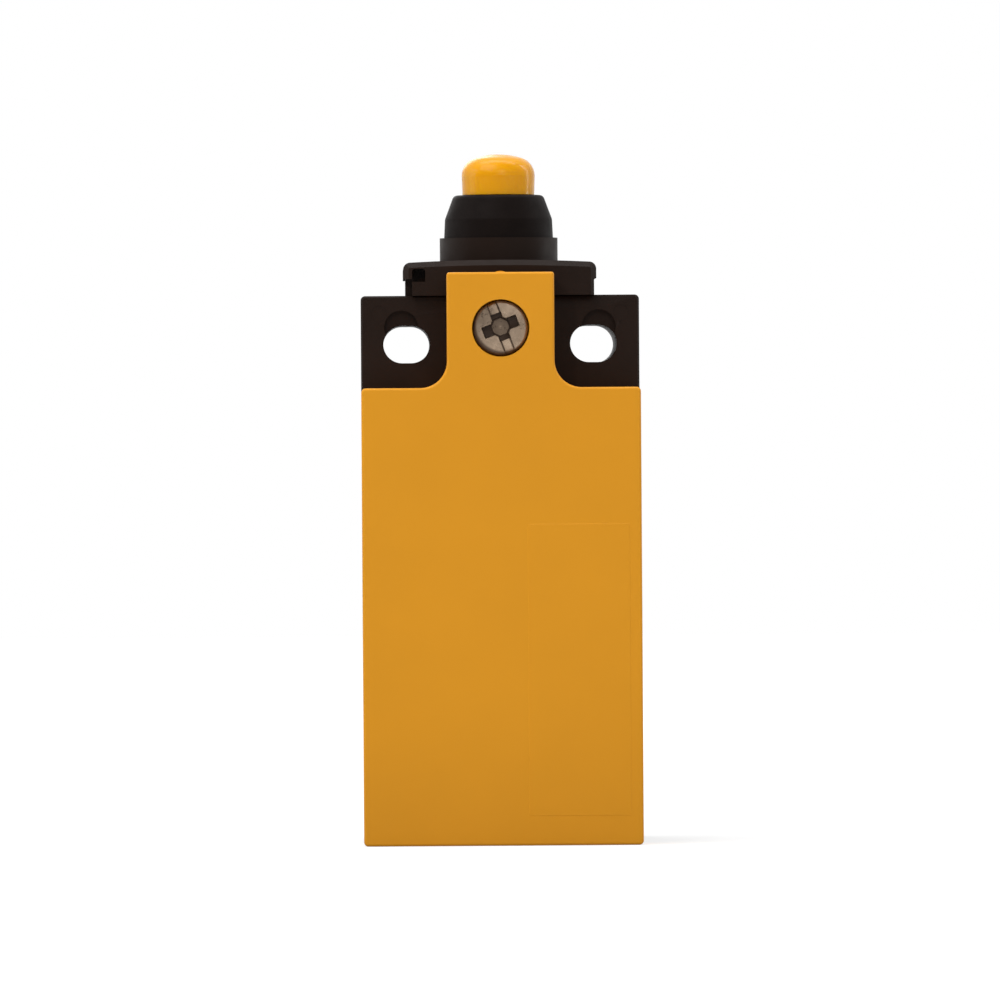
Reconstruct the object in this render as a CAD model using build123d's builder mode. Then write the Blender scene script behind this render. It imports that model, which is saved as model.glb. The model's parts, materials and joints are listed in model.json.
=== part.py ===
from build123d import *
import os

# Limit switch with a rubber-sealed top plunger and a slow-action contact block, in millimetres.
# +X is to the right, +Z is up, and the switch looks along -Y. The origin lies on the mounting
# face, midway between the two fixing slots. A "depth" is a distance in front of that face.

# ---------------------------------------------------------------- driving dimensions
# Enclosure
body_width = 31.0
body_bottom = -55.65
ear_top = 5.4
base_depth = 25.0
cover_depth = 8.5
side_wall = 2.4
bottom_wall = 2.5
rear_wall = 2.5
corner_radius = 0.5
edge_radius = 0.3
cavity_corner = 1.5

# Fixing slots in the ears
slot_spacing = 20.8
slot_width = 5.2
slot_height = 4.2
ear_pocket_radius = 1.9
ear_pocket_spacing = 22.0
ear_pocket_rise = 1.87
ear_pocket_depth = 1.0
ejector_radius = 0.9
ejector_spacing = 27.0
ejector_rise = 3.4
ejector_depth = 0.06
rear_core_width = 9.0
rear_core_height = 7.0
rear_core_depth = 4.5

# Cable entry, M20 x 1.5
entry_thread_radius = 9.19
entry_depth = 13.5
entry_length = 9.0
entry_wall = 2.4
entry_chamfer = 0.8

# Front cover
shoulder_height = -4.9
rim_height = 2.7
tongue_width = 11.9
tongue_top = 7.9
tongue_fillet = 3.0
tongue_rear_gap = 0.5
cover_face_wall = 2.2
cover_rib_height = 1.5
cover_rib_width = 1.0
cover_rib_pitch = 14.0
cover_rib_count = 3
joint_chamfer = 0.2
insert_proud = 0.03
insert_draft = 73.0
insert_left = 2.8
insert_right = 14.2
insert_top = -20.0
insert_bottom = -52.4
pip_width = 1.2
pip_height = 0.13
pip_length = 1.5
tab_width = 3.0
tab_thickness = 1.2
tab_reach = 2.4
tab_spacing = 14.0
tab_wall = 1.5
tab_rise = 4.4
gasket_width = 1.0
gasket_depth = 1.0

# Captive cover screw, M3
screw_radius = 1.5
screw_head_radius = 3.05
screw_head_height = 2.05
screw_recess_gap = 0.13
screw_recess_depth = 2.2
screw_web = 1.3
screw_turn = 20.0
screw_slot_width = 0.9
screw_cross_length = 3.9
screw_cross_width = 1.2
screw_boss_radius = 3.5
screw_boss_gap = 0.8
screw_boss_cover = 0.2
insert_wall = 0.8
insert_length = 4.8
retainer_width = 1.1
retainer_thickness = 0.6

# Plunger head
plunger_depth = 15.5
plunger_travel = 5.0
head_width = 21.5
head_length = 22.0
head_neck_width = 21.0
head_edge_height = 9.05
head_crown_height = 9.35
head_lip_height = 1.8
head_corner = 0.8
head_bevel = 0.6
head_notch_left = 9.75
head_notch_top = 8.4
head_notch_width = 1.45
head_notch_corner = 0.3
head_notch_depth = 2.5
collar_radius = 6.6
collar_top = 11.9
collar_wall = 0.45
spigot_radius = 7.3
spigot_bottom = 0.5
lug_reach = 0.7
lug_width = 4.0
lug_thickness = 2.4
bayonet_shelf = 2.2
seal_width = 0.8
seal_gap = 0.4
seal_thickness = 0.8
guide_top = 9.6

# Plunger and boot
cap_radius = 4.1
cap_base_radius = 4.03
cap_top = 21.28
cap_dome_radius = 2.6
cap_dome_rise = 0.4
cap_seat = 16.75
cap_neck_radius = 2.6
rod_radius = 3.0
rod_shoulder = 15.0
rod_spigot_radius = 2.0
rod_spigot_length = 4.0
flange_radius = 4.3
flange_thickness = 1.2
boot_foot = 8.0
boot_wall = 0.85
boot_knee_height = 14.05
boot_knee_radius = 6.0
boot_rim_radius = 5.1
boot_rim_fillet = 0.35

# Contact block
block_gap = 0.3
block_top = -8.0
block_bottom = -38.0
block_depth = 19.5
block_floor = 1.5
block_corner = 1.0
block_plate_thickness = 1.0
block_plate_width = 13.2
block_plate_margin = 0.9
peg_radius = 0.8
peg_length = 3.0
peg_spacing = 10.0
post_radius = 3.0
post_length = 6.5
block_screw_radius = 1.2
block_screw_head_radius = 2.3
block_screw_head_height = 1.6
block_screw_length = 7.5
block_screw_seat = 3.0

# Carrier, bridges and springs
carrier_width = 5.6
carrier_length = 5.8
carrier_top = -8.8
carrier_window = 3.8
carrier_web = 1.2
carrier_foot = 1.4
nc_gap = 1.8
no_gap = 3.0
contact_plane = -14.0
bridge_half_length = 5.6
bridge_width = 3.2
bridge_thickness = 0.7
tip_radius = 1.1
tip_height = 0.5
tip_offset = 4.6
chamber_gap = 0.7
nc_spring_length = 4.4
no_spring_length = 4.6
contact_spring_radius = 1.3
contact_spring_wire = 0.3
contact_spring_turns = 4
return_spring_radius = 1.9
return_spring_wire = 0.45
return_spring_turns = 5

# Terminals, M3
strip_thickness = 0.8
blade_width = 3.6
blade_inner = 3.5
arm_height = 1.6
terminal_offset = 9.5
terminal_seat_depth = 12.9
well_width = 5.2
well_height = 7.4
tab_plate_width = 4.8
tab_plate_height = 6.6
clamp_width = 4.6
clamp_height = 5.4
clamp_thickness = 0.9
terminal_screw_radius = 1.5
terminal_head_radius = 2.3
terminal_head_height = 1.8
terminal_screw_length = 8.0
cross_slot = 0.9
cross_length = 3.0
recess_depth = 1.0

# Clearances
fit = 0.02
slip = 0.05
loose = 0.1
running = 0.2
clear = 0.3
root = 1.0  # how far a boss or a post starts inside its wall

# ---------------------------------------------------------------- worked-out places
overall_depth = base_depth + cover_depth
screw_height = ear_top - screw_boss_radius - screw_boss_cover
recess_radius = screw_head_radius + screw_recess_gap
insert_radius = screw_radius + insert_wall
lug_radius = spigot_radius + lug_reach
seal_inner_radius = lug_radius + seal_gap
body_middle = (ear_top + body_bottom) / 2
cavity_top = shoulder_height - rim_height
cavity_bottom = body_bottom + bottom_wall
cavity_width = body_width - 2 * side_wall
cavity_height = cavity_top - cavity_bottom
cavity_middle = (cavity_top + cavity_bottom) / 2
cover_height = shoulder_height - body_bottom
cover_middle = (shoulder_height + body_bottom) / 2

screw_seat_depth = overall_depth - screw_recess_depth
screw_web_back = screw_seat_depth - screw_web
screw_boss_depth = screw_web_back - screw_boss_gap
insert_end_depth = screw_boss_depth - insert_length

head_front_depth = plunger_depth + head_length / 2
lip_bottom = head_edge_height - head_lip_height
boot_radius = collar_radius - collar_wall - slip
guide_boss_radius = boot_radius - boot_wall - clear

block_width = cavity_width - 2 * block_gap
block_middle = (block_top + block_bottom) / 2
channel_width = carrier_width + 2 * running
channel_length = carrier_length + 2 * clear
channel_bottom = block_bottom + block_floor
plate_depth = plunger_depth + channel_length / 2
plate_height = block_top - block_bottom - 2 * block_plate_margin
chamber_half = bridge_half_length + chamber_gap

nc_bridge_top = contact_plane - tip_height
nc_bridge_bottom = nc_bridge_top - bridge_thickness
nc_window_top = nc_bridge_top + nc_gap + loose
nc_window_bottom = nc_bridge_bottom - nc_spring_length
no_window_top = nc_window_bottom - carrier_web
no_bridge_top = no_window_top - no_spring_length
no_bridge_bottom = no_bridge_top - bridge_thickness
no_window_bottom = no_bridge_bottom - slip
carrier_bottom = no_window_bottom - carrier_foot
no_contact_plane = no_bridge_bottom - tip_height - no_gap - slip
nc_blade = contact_plane + tip_height + strip_thickness / 2
no_blade = no_contact_plane - tip_height - strip_thickness / 2
terminal_rows = (nc_blade, no_blade)
terminal_middle = (nc_blade + no_blade) / 2
nc_overtravel = plunger_travel - nc_gap
clamp_depth = terminal_seat_depth + strip_thickness
head_seat_depth = clamp_depth + clamp_thickness
block_screw_depth = rear_wall + post_length + block_screw_seat


def front(depth):
    """Plane facing the viewer, a depth in front of the mounting face: sketch X is X, sketch Y is Z."""
    return Plane.XZ.offset(depth)


def level(height):
    """Horizontal plane at a height, with its origin on the plunger's axis."""
    return Plane(origin=(0, -plunger_depth, height))


def plunger_section():
    """Upright plane through the plunger's axis: sketch X is the radius, sketch Y is Z."""
    return front(plunger_depth)


def gasket_outline():
    """Ring midway along the rim of the housing, for the gasket and for its groove."""
    with Locations((0, cavity_middle)):
        for growth, mode in ((side_wall + gasket_width, Mode.ADD),
                             (side_wall - gasket_width, Mode.SUBTRACT)):
            RectangleRounded(cavity_width + growth, cavity_height + growth,
                             cavity_corner + growth / 2, mode=mode)


def round_pair(radius, spacing, rise):
    """Pair of circles, side by side and midway about X = 0."""
    with Locations((0, rise)):
        with GridLocations(spacing, 0, 2, 1):
            Circle(radius)


plunger_axis = Axis((0, -plunger_depth, 0), (0, 0, 1))


def finish(piece, name):
    """Labels a piece and writes it to its own file."""
    piece.part.label = name
    export_step(piece.part, f"parts/{name}.step")


os.makedirs("parts", exist_ok=True)

# ---------------------------------------------------------------- housing base
with BuildPart() as housing_base:
    # Solid shell with softened outer corners
    with BuildSketch(front(0)):
        with Locations((0, body_middle)):
            RectangleRounded(body_width, ear_top - body_bottom, corner_radius)
    extrude(amount=base_depth)
    chamfer(housing_base.faces().sort_by(Axis.Y)[0].outer_wire().edges(), joint_chamfer)

    # Contact and wiring space, open to the front
    with BuildSketch(front(base_depth)):
        with Locations((0, cavity_middle)):
            RectangleRounded(cavity_width, cavity_height, cavity_corner)
    extrude(amount=rear_wall - base_depth, mode=Mode.SUBTRACT)

    # Boss of the cable entry, squared off in front for the cover's tabs
    with BuildSketch(Plane.XY.offset(body_bottom + edge_radius)):
        with Locations((0, -entry_depth)):
            Circle(entry_thread_radius + entry_wall)
        with Locations((0, -base_depth)):
            Rectangle(tab_spacing + tab_width + 2 * tab_wall, tab_reach + clear + tab_wall,
                      align=(Align.CENTER, Align.MIN))
        with Locations((0, -base_depth / 2)):
            Rectangle(body_width - 2 * edge_radius, base_depth - 2 * slip, mode=Mode.INTERSECT)
    extrude(amount=entry_length - edge_radius)
    with BuildSketch(Plane.XY.offset(body_bottom)):
        with Locations((0, -entry_depth)):
            Circle(entry_thread_radius)
    extrude(amount=entry_length, mode=Mode.SUBTRACT)
    entry_mouth = housing_base.edges().filter_by(GeomType.CIRCLE).group_by(Axis.Z)[0]
    chamfer(entry_mouth.sort_by(Edge.length)[-1], entry_chamfer)

    # Fixing slots right through the ears, each with its blind round pocket in front
    with BuildSketch(front(base_depth)):
        with GridLocations(slot_spacing, 0, 2, 1):
            SlotOverall(slot_width, slot_height)
    extrude(amount=-base_depth, mode=Mode.SUBTRACT)
    with BuildSketch(front(base_depth)):
        round_pair(ear_pocket_radius, ear_pocket_spacing, ear_pocket_rise)
    extrude(amount=-ear_pocket_depth, mode=Mode.SUBTRACT)
    with BuildSketch(front(base_depth)):
        round_pair(ejector_radius, ejector_spacing, ejector_rise)
    extrude(amount=-ejector_depth, mode=Mode.SUBTRACT)

    # Coring pocket in the rear face, behind the plunger head
    with BuildSketch(front(0)):
        with Locations((0, (ear_top + cavity_top) / 2)):
            RectangleRounded(rear_core_width, rear_core_height, corner_radius)
    extrude(amount=rear_core_depth, mode=Mode.SUBTRACT)

    # Bayonet seat of the head: shelf, chamber under it, and a free bore for the rod's flange
    with BuildSketch(level(ear_top)):
        Rectangle(2 * lug_radius, lug_width + 2 * running, rotation=45)
        Circle(lug_radius + loose, mode=Mode.INTERSECT)
        Circle(spigot_radius + loose)
    extrude(amount=-bayonet_shelf, mode=Mode.SUBTRACT)
    with BuildSketch(level(ear_top - bayonet_shelf)):
        Circle(lug_radius + loose)
    extrude(amount=bayonet_shelf - ear_top, mode=Mode.SUBTRACT)
    with BuildSketch(level(0)):
        Circle(flange_radius + 2 * running)
    extrude(amount=cavity_top, mode=Mode.SUBTRACT)

    # Boss for the cover screw, standing into the hollow tongue of the cover
    with BuildSketch(front(base_depth - root)):
        with Locations((0, screw_height)):
            Circle(screw_boss_radius)
    extrude(amount=screw_boss_depth - base_depth + root)
    with BuildSketch(front(screw_boss_depth)):
        with Locations((0, screw_height)):
            Circle(insert_radius + fit)
    extrude(amount=-insert_length, mode=Mode.SUBTRACT)

    # Groove for the cover gasket
    with BuildSketch(front(base_depth)):
        gasket_outline()
    extrude(amount=-gasket_depth, mode=Mode.SUBTRACT)

    # Slots for the cover's tabs in the front of the cable entry's boss
    with BuildSketch(front(base_depth)):
        with Locations((0, body_bottom + tab_rise)):
            with GridLocations(tab_spacing, 0, 2, 1):
                Rectangle(tab_width + 2 * loose, tab_thickness + 2 * loose)
    extrude(amount=-tab_reach - clear, mode=Mode.SUBTRACT)

    # Posts that carry the contact block
    with BuildSketch(front(rear_wall - root)):
        round_pair(post_radius, 2 * terminal_offset, terminal_middle)
    extrude(amount=post_length + root)
    with BuildSketch(front(rear_wall + post_length)):
        round_pair(block_screw_radius + fit, 2 * terminal_offset, terminal_middle)
    extrude(amount=-post_length, mode=Mode.SUBTRACT)
finish(housing_base, "housing_base")

# ---------------------------------------------------------------- front cover
with BuildPart() as front_cover:
    # Outline with the tongue that locks the plunger head
    with BuildSketch(front(base_depth)):
        with Locations((0, cover_middle)):
            RectangleRounded(body_width, cover_height, corner_radius)
        with Locations((0, (tongue_top + cover_middle) / 2)):
            RectangleRounded(tongue_width, tongue_top - cover_middle, edge_radius)
    extrude(amount=cover_depth)
    inner_corners = (
        front_cover.edges()
        .filter_by(Axis.Y)
        .filter_by(lambda e: abs(e.center().Z - shoulder_height) < slip)
        .filter_by(lambda e: abs(e.center().X) < tongue_width)
    )
    fillet(inner_corners, tongue_fillet)
    fillet(front_cover.faces().sort_by(Axis.Y)[0].outer_wire().edges(), edge_radius)
    chamfer(front_cover.faces().sort_by(Axis.Y)[-1].outer_wire().edges(), joint_chamfer)

    # Face of the mould insert, a hair proud with a drafted edge, and the gate pip on the tongue
    with BuildSketch(front(overall_depth)):
        with Locations(((insert_left + insert_right) / 2, (insert_top + insert_bottom) / 2)):
            Rectangle(insert_right - insert_left, insert_top - insert_bottom)
    extrude(amount=insert_proud, taper=insert_draft)
    pip_radius = (pip_width**2 / 4 + pip_height**2) / (2 * pip_height)
    with BuildSketch(front(overall_depth - edge_radius)):
        with Locations((0, tongue_top + pip_height - pip_radius)):
            Circle(pip_radius)
        with Locations((0, tongue_top - slip)):
            Rectangle(tongue_width, tongue_width, align=(Align.CENTER, Align.MIN),
                      mode=Mode.INTERSECT)
    extrude(amount=-pip_length)

    # Hollow behind the face, with stiffening ribs across it
    with BuildSketch(front(base_depth)):
        with Locations((0, cavity_middle)):
            RectangleRounded(cavity_width, cavity_height, cavity_corner)
    extrude(amount=cover_depth - cover_face_wall, mode=Mode.SUBTRACT)
    with BuildSketch(front(overall_depth - cover_face_wall)):
        with Locations((0, cavity_middle)):
            with GridLocations(0, cover_rib_pitch, 1, cover_rib_count):
                Rectangle(cavity_width, cover_rib_width)
    extrude(amount=-cover_rib_height)

    # Tongue: hollow round the screw boss, and cut back to pass in front of the head
    with BuildSketch(front(base_depth)):
        with Locations((0, screw_height)):
            Circle(screw_boss_radius + clear)
    extrude(amount=screw_web_back - base_depth, mode=Mode.SUBTRACT)
    with BuildSketch(front(base_depth)):
        with Locations((0, ear_top)):
            Rectangle(body_width, tongue_top, align=(Align.CENTER, Align.MIN))
    extrude(amount=head_front_depth + tongue_rear_gap - base_depth, mode=Mode.SUBTRACT)

    # Counterbored hole for the captive screw
    screw_place = Plane(origin=(0, -overall_depth, screw_height), z_dir=(0, -1, 0))
    with Locations(screw_place):
        CounterBoreHole(screw_radius + loose, recess_radius, screw_recess_depth)

    # Tabs that hook into the base beside the cable entry
    with BuildSketch(front(overall_depth - cover_face_wall)):
        with Locations((0, body_bottom + tab_rise)):
            with GridLocations(tab_spacing, 0, 2, 1):
                Rectangle(tab_width, tab_thickness)
    extrude(amount=cover_face_wall - cover_depth - tab_reach)
finish(front_cover, "front_cover")

# ---------------------------------------------------------------- cover gasket
with BuildPart() as cover_gasket:
    with BuildSketch(front(base_depth)):
        gasket_outline()
    extrude(amount=-gasket_depth)
finish(cover_gasket, "cover_gasket")

# ---------------------------------------------------------------- cover screw and its insert
with BuildPart() as cover_screw:
    with BuildSketch(front(screw_seat_depth)):
        with Locations((0, screw_height)):
            Circle(screw_head_radius)
    extrude(amount=screw_head_height)
    chamfer(cover_screw.faces().sort_by(Axis.Y)[0].outer_wire().edges(), edge_radius)
    with BuildSketch(front(screw_seat_depth)):
        with Locations((0, screw_height)):
            Circle(screw_radius)
    extrude(amount=insert_end_depth + clear - screw_seat_depth)
    # Combined drive: a slot from rim to rim crossed by a short cross recess
    with BuildSketch(front(screw_seat_depth + screw_head_height)):
        with Locations((0, screw_height)):
            Rectangle(screw_slot_width, 3 * screw_head_radius, rotation=screw_turn)
            Rectangle(screw_cross_length, screw_cross_width, rotation=screw_turn)
    extrude(amount=-recess_depth, mode=Mode.SUBTRACT)
finish(cover_screw, "cover_screw")

with BuildPart() as screw_insert:
    with BuildSketch(front(insert_end_depth)):
        with Locations((0, screw_height)):
            Circle(insert_radius)
            Circle(screw_radius + fit, mode=Mode.SUBTRACT)
    extrude(amount=insert_length)
finish(screw_insert, "screw_insert")

with BuildPart() as screw_retainer:
    with BuildSketch(front(screw_boss_depth + loose)):
        with Locations((0, screw_height)):
            Circle(screw_radius + retainer_width)
            Circle(screw_radius + fit, mode=Mode.SUBTRACT)
    extrude(amount=retainer_thickness)
finish(screw_retainer, "screw_retainer")

# ---------------------------------------------------------------- plunger head
with BuildPart() as head_plate:
    # Crowned plate with a lip all round its top edge
    with BuildSketch(front(plunger_depth - head_length / 2)):
        with BuildLine():
            Polyline((-head_width / 2, head_edge_height), (-head_width / 2, lip_bottom),
                     (head_width / 2, lip_bottom), (head_width / 2, head_edge_height))
            ThreePointArc((-head_width / 2, head_edge_height), (0, head_crown_height),
                          (head_width / 2, head_edge_height))
        make_face()
        with Locations((0, (ear_top + lip_bottom) / 2)):
            Rectangle(head_neck_width, lip_bottom - ear_top)
    extrude(amount=head_length)
    fillet(head_plate.edges().filter_by(Axis.Y).group_by(Axis.Z)[-1], head_corner)
    top_face = head_plate.faces().sort_by(Axis.Z)[-1]
    chamfer(top_face.edges().sort_by(Axis.Y)[0], head_bevel)

    # Latch notch in the left of the front face, open to the relief beside the neck
    with BuildSketch(front(head_front_depth)) as notch:
        with Locations((-head_notch_left, head_notch_top)):
            Rectangle(head_notch_width, head_notch_top - lip_bottom + edge_radius,
                      align=(Align.MIN, Align.MAX))
        fillet(notch.vertices().group_by(Axis.Y)[-1], head_notch_corner)
        with Locations((-head_neck_width / 2, lip_bottom)):
            Rectangle(head_neck_width / 2 - head_notch_left, lip_bottom - ear_top,
                      align=(Align.MIN, Align.MAX))
    extrude(amount=-head_notch_depth, mode=Mode.SUBTRACT)

    # Spigot with two bayonet lugs
    with BuildSketch(level(ear_top)):
        Circle(spigot_radius)
    extrude(amount=spigot_bottom - ear_top)
    with BuildSketch(level(ear_top - bayonet_shelf - loose)):
        Rectangle(2 * lug_radius, lug_width)
        Circle(lug_radius, mode=Mode.INTERSECT)
    extrude(amount=-lug_thickness)

    # Collar round the boot, with the groove for the boot's foot inside it
    with BuildSketch(level(lip_bottom)):
        Circle(collar_radius)
    extrude(amount=collar_top - lip_bottom)
    with BuildSketch(level(boot_foot)):
        Circle(collar_radius - collar_wall)
        Circle(guide_boss_radius, mode=Mode.SUBTRACT)
    extrude(amount=collar_top - boot_foot, mode=Mode.SUBTRACT)
    with BuildSketch(level(guide_top)):
        Circle(collar_radius - collar_wall)
    extrude(amount=collar_top - guide_top, mode=Mode.SUBTRACT)

    # Guide bore for the plunger rod
    with Locations(level(guide_top)):
        Hole(rod_radius + slip)

    # Groove for the head seal in the underside
    with BuildSketch(level(ear_top)):
        Circle(seal_inner_radius + seal_width)
        Circle(seal_inner_radius, mode=Mode.SUBTRACT)
    extrude(amount=seal_thickness, mode=Mode.SUBTRACT)
finish(head_plate, "head_plate")

with BuildPart() as head_seal:
    with BuildSketch(level(ear_top)):
        Circle(seal_inner_radius + seal_width)
        Circle(seal_inner_radius, mode=Mode.SUBTRACT)
    extrude(amount=seal_thickness)
finish(head_seal, "head_seal")

# ---------------------------------------------------------------- boot, cap and rod
with BuildPart() as rubber_boot:
    with BuildSketch(plunger_section()):
        with BuildLine():
            Polyline((boot_radius - boot_wall, boot_foot), (boot_radius, boot_foot),
                     (boot_radius, collar_top), (boot_knee_radius, boot_knee_height),
                     (boot_rim_radius, cap_seat - boot_rim_fillet),
                     (boot_rim_radius - boot_rim_fillet, cap_seat - slip),
                     (cap_neck_radius + slip, cap_seat - slip),
                     (cap_neck_radius + slip, rod_shoulder + slip),
                     (boot_rim_radius - boot_wall, rod_shoulder + slip),
                     (boot_radius - boot_wall, boot_knee_height - boot_wall / 2),
                     (boot_radius - boot_wall, boot_foot))
        make_face()
    revolve(axis=plunger_axis)
finish(rubber_boot, "rubber_boot")

with BuildPart() as plunger_rod:
    with BuildSketch(level(carrier_top)):
        Circle(rod_radius)
    extrude(amount=rod_shoulder - carrier_top)
    with BuildSketch(level(spigot_bottom - slip)):
        Circle(flange_radius)
    extrude(amount=-flange_thickness)
    with BuildSketch(level(rod_shoulder)):
        Circle(rod_spigot_radius)
    extrude(amount=rod_spigot_length)
finish(plunger_rod, "plunger_rod")

with BuildPart() as plunger_cap:
    with BuildSketch(plunger_section()):
        with BuildLine():
            # Low dome, and a corner arc that is tangent to it and to the side
            dome_edge = (cap_dome_radius, cap_top - cap_dome_rise)
            half_slope = cap_dome_rise / cap_dome_radius
            corner = (cap_radius - cap_dome_radius) / (1 - half_slope) ** 2
            turn = cap_top - cap_dome_rise - corner * (1 - half_slope**2)
            Polyline((0, cap_top), (0, rod_shoulder), (cap_neck_radius, rod_shoulder),
                     (cap_neck_radius, cap_seat), (cap_base_radius, cap_seat), (cap_radius, turn))
            RadiusArc((cap_radius, turn), dome_edge, -corner * (1 + half_slope**2))
            RadiusArc(dome_edge, (0, cap_top),
                      -(cap_dome_radius**2 + cap_dome_rise**2) / (2 * cap_dome_rise))
        make_face()
    revolve(axis=plunger_axis)
    with BuildSketch(level(rod_shoulder)):
        Circle(rod_spigot_radius + fit)
    extrude(amount=rod_spigot_length + loose, mode=Mode.SUBTRACT)
finish(plunger_cap, "plunger_cap")

# ---------------------------------------------------------------- contact block
with BuildPart() as contact_block:
    with BuildSketch(front(rear_wall)):
        with Locations((0, block_middle)):
            RectangleRounded(block_width, block_top - block_bottom, block_corner)
    extrude(amount=block_depth - rear_wall)

    # Guide channel of the carrier, open at the top for the plunger rod
    with BuildSketch(front(block_depth)):
        with Locations((0, (block_top + channel_bottom) / 2)):
            Rectangle(channel_width, block_top - channel_bottom)
    extrude(amount=plunger_depth - channel_length / 2 - block_depth, mode=Mode.SUBTRACT)
    with BuildSketch(level(block_top)):
        Circle(rod_radius + running)
    extrude(amount=carrier_top - block_top - plunger_travel - clear, mode=Mode.SUBTRACT)

    # Chambers in which the bridges meet the fixed contacts
    with BuildSketch(front(block_depth)):
        for bridge_end, arm_end in ((nc_bridge_bottom - nc_overtravel, nc_blade + arm_height),
                                    (no_blade - arm_height, no_bridge_top)):
            with Locations((0, (bridge_end + arm_end) / 2)):
                Rectangle(2 * chamber_half, arm_end - bridge_end + 2 * clear)
    extrude(amount=terminal_seat_depth - block_depth, mode=Mode.SUBTRACT)

    # Terminal wells, slots for the contact blades and holes for the terminal screws
    for row in terminal_rows:
        with BuildSketch(front(block_depth)):
            with Locations((0, row)):
                with GridLocations(2 * terminal_offset, 0, 2, 1):
                    Rectangle(well_width, well_height)
        extrude(amount=terminal_seat_depth - block_depth, mode=Mode.SUBTRACT)
        with BuildSketch(front(terminal_seat_depth)):
            round_pair(terminal_screw_radius + loose, 2 * terminal_offset, row)
        extrude(amount=head_seat_depth - terminal_screw_length - clear - terminal_seat_depth,
                mode=Mode.SUBTRACT)
    with BuildSketch(front(terminal_seat_depth)):
        for arm_middle in (nc_blade + arm_height / 2 - strip_thickness / 2,
                           no_blade - arm_height / 2 + strip_thickness / 2):
            with Locations((0, arm_middle)):
                Rectangle(2 * terminal_offset, arm_height + 2 * loose)
    extrude(amount=strip_thickness + loose, mode=Mode.SUBTRACT)

    # Seats on the base's posts, with the fixing screws' holes and counterbores
    with BuildSketch(front(rear_wall)):
        round_pair(post_radius + loose, 2 * terminal_offset, terminal_middle)
    extrude(amount=post_length, mode=Mode.SUBTRACT)
    with BuildSketch(front(rear_wall)):
        round_pair(block_screw_radius + loose, 2 * terminal_offset, terminal_middle)
    extrude(amount=block_depth, mode=Mode.SUBTRACT)
    with BuildSketch(front(block_depth)):
        round_pair(block_screw_head_radius + loose, 2 * terminal_offset, terminal_middle)
    extrude(amount=block_screw_depth - block_depth, mode=Mode.SUBTRACT)

    # Rebate and peg holes for the front plate
    with BuildSketch(front(block_depth)):
        with Locations((0, block_middle)):
            Rectangle(block_plate_width + 2 * loose, plate_height + 2 * loose)
    extrude(amount=plate_depth - block_depth, mode=Mode.SUBTRACT)
    with BuildSketch(front(plate_depth)):
        round_pair(peg_radius + fit, peg_spacing, terminal_middle)
    extrude(amount=-peg_length - clear, mode=Mode.SUBTRACT)
finish(contact_block, "contact_block")

with BuildPart() as block_plate:
    with BuildSketch(front(plate_depth)):
        with Locations((0, block_middle)):
            Rectangle(block_plate_width, plate_height)
    extrude(amount=block_plate_thickness)
    fillet(block_plate.edges().filter_by(Axis.Y), edge_radius)
    with BuildSketch(front(plate_depth)):
        round_pair(peg_radius, peg_spacing, terminal_middle)
    extrude(amount=-peg_length)
finish(block_plate, "block_plate")

with BuildPart() as block_screws:
    with BuildSketch(front(block_screw_depth)):
        round_pair(block_screw_head_radius, 2 * terminal_offset, terminal_middle)
    extrude(amount=block_screw_head_height)
    with BuildSketch(front(block_screw_depth)):
        round_pair(block_screw_radius, 2 * terminal_offset, terminal_middle)
    extrude(amount=-block_screw_length)
    with BuildSketch(front(block_screw_depth + block_screw_head_height)):
        with Locations((0, terminal_middle)):
            with GridLocations(2 * terminal_offset, 0, 2, 1):
                Rectangle(cross_slot, cross_length)
                Rectangle(cross_length, cross_slot)
    extrude(amount=-recess_depth, mode=Mode.SUBTRACT)
finish(block_screws, "block_screws")

# ---------------------------------------------------------------- carrier and bridges
with BuildPart() as contact_carrier:
    with BuildSketch(front(plunger_depth - carrier_length / 2)):
        with Locations((0, (carrier_top + carrier_bottom) / 2)):
            Rectangle(carrier_width, carrier_top - carrier_bottom)
    extrude(amount=carrier_length)
    for window_top, window_bottom in ((nc_window_top, nc_window_bottom),
                                      (no_window_top, no_window_bottom)):
        with BuildSketch(level(window_bottom)):
            Rectangle(2 * carrier_width, carrier_window)
        extrude(amount=window_top - window_bottom, mode=Mode.SUBTRACT)
    chamfer(contact_carrier.faces().sort_by(Axis.Z)[-1].edges(), edge_radius)
finish(contact_carrier, "contact_carrier")


def bridge(name, plate_bottom, tip_side):
    """Double-break bridge: a plate across the carrier with a riveted tip at each end."""
    with BuildPart() as plate:
        with BuildSketch(level(plate_bottom)):
            SlotOverall(2 * bridge_half_length, bridge_width)
        extrude(amount=bridge_thickness)
    finish(plate, name)
    tip_start = plate_bottom + bridge_thickness if tip_side > 0 else plate_bottom
    with BuildPart() as tips:
        with BuildSketch(level(tip_start)):
            with GridLocations(2 * tip_offset, 0, 2, 1):
                Circle(tip_radius)
        extrude(amount=tip_side * tip_height)
    finish(tips, f"{name}_tips")


bridge("nc_bridge", nc_bridge_bottom, 1)
bridge("no_bridge", no_bridge_bottom, -1)


def coil_spring(name, bottom, length, radius, wire, turns):
    """Compression spring of square wire on the plunger's axis, inside the given length."""
    rise = length - wire - 2 * loose
    with BuildPart() as spring:
        with BuildLine() as coil:
            Helix(pitch=rise / turns, height=rise, radius=radius,
                  center=(0, -plunger_depth, bottom + (length - rise) / 2))
        with BuildSketch(Plane(coil.line @ 0, z_dir=coil.line % 0)):
            Rectangle(wire, wire)
        sweep(path=coil.line, is_frenet=True)
    finish(spring, name)


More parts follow.
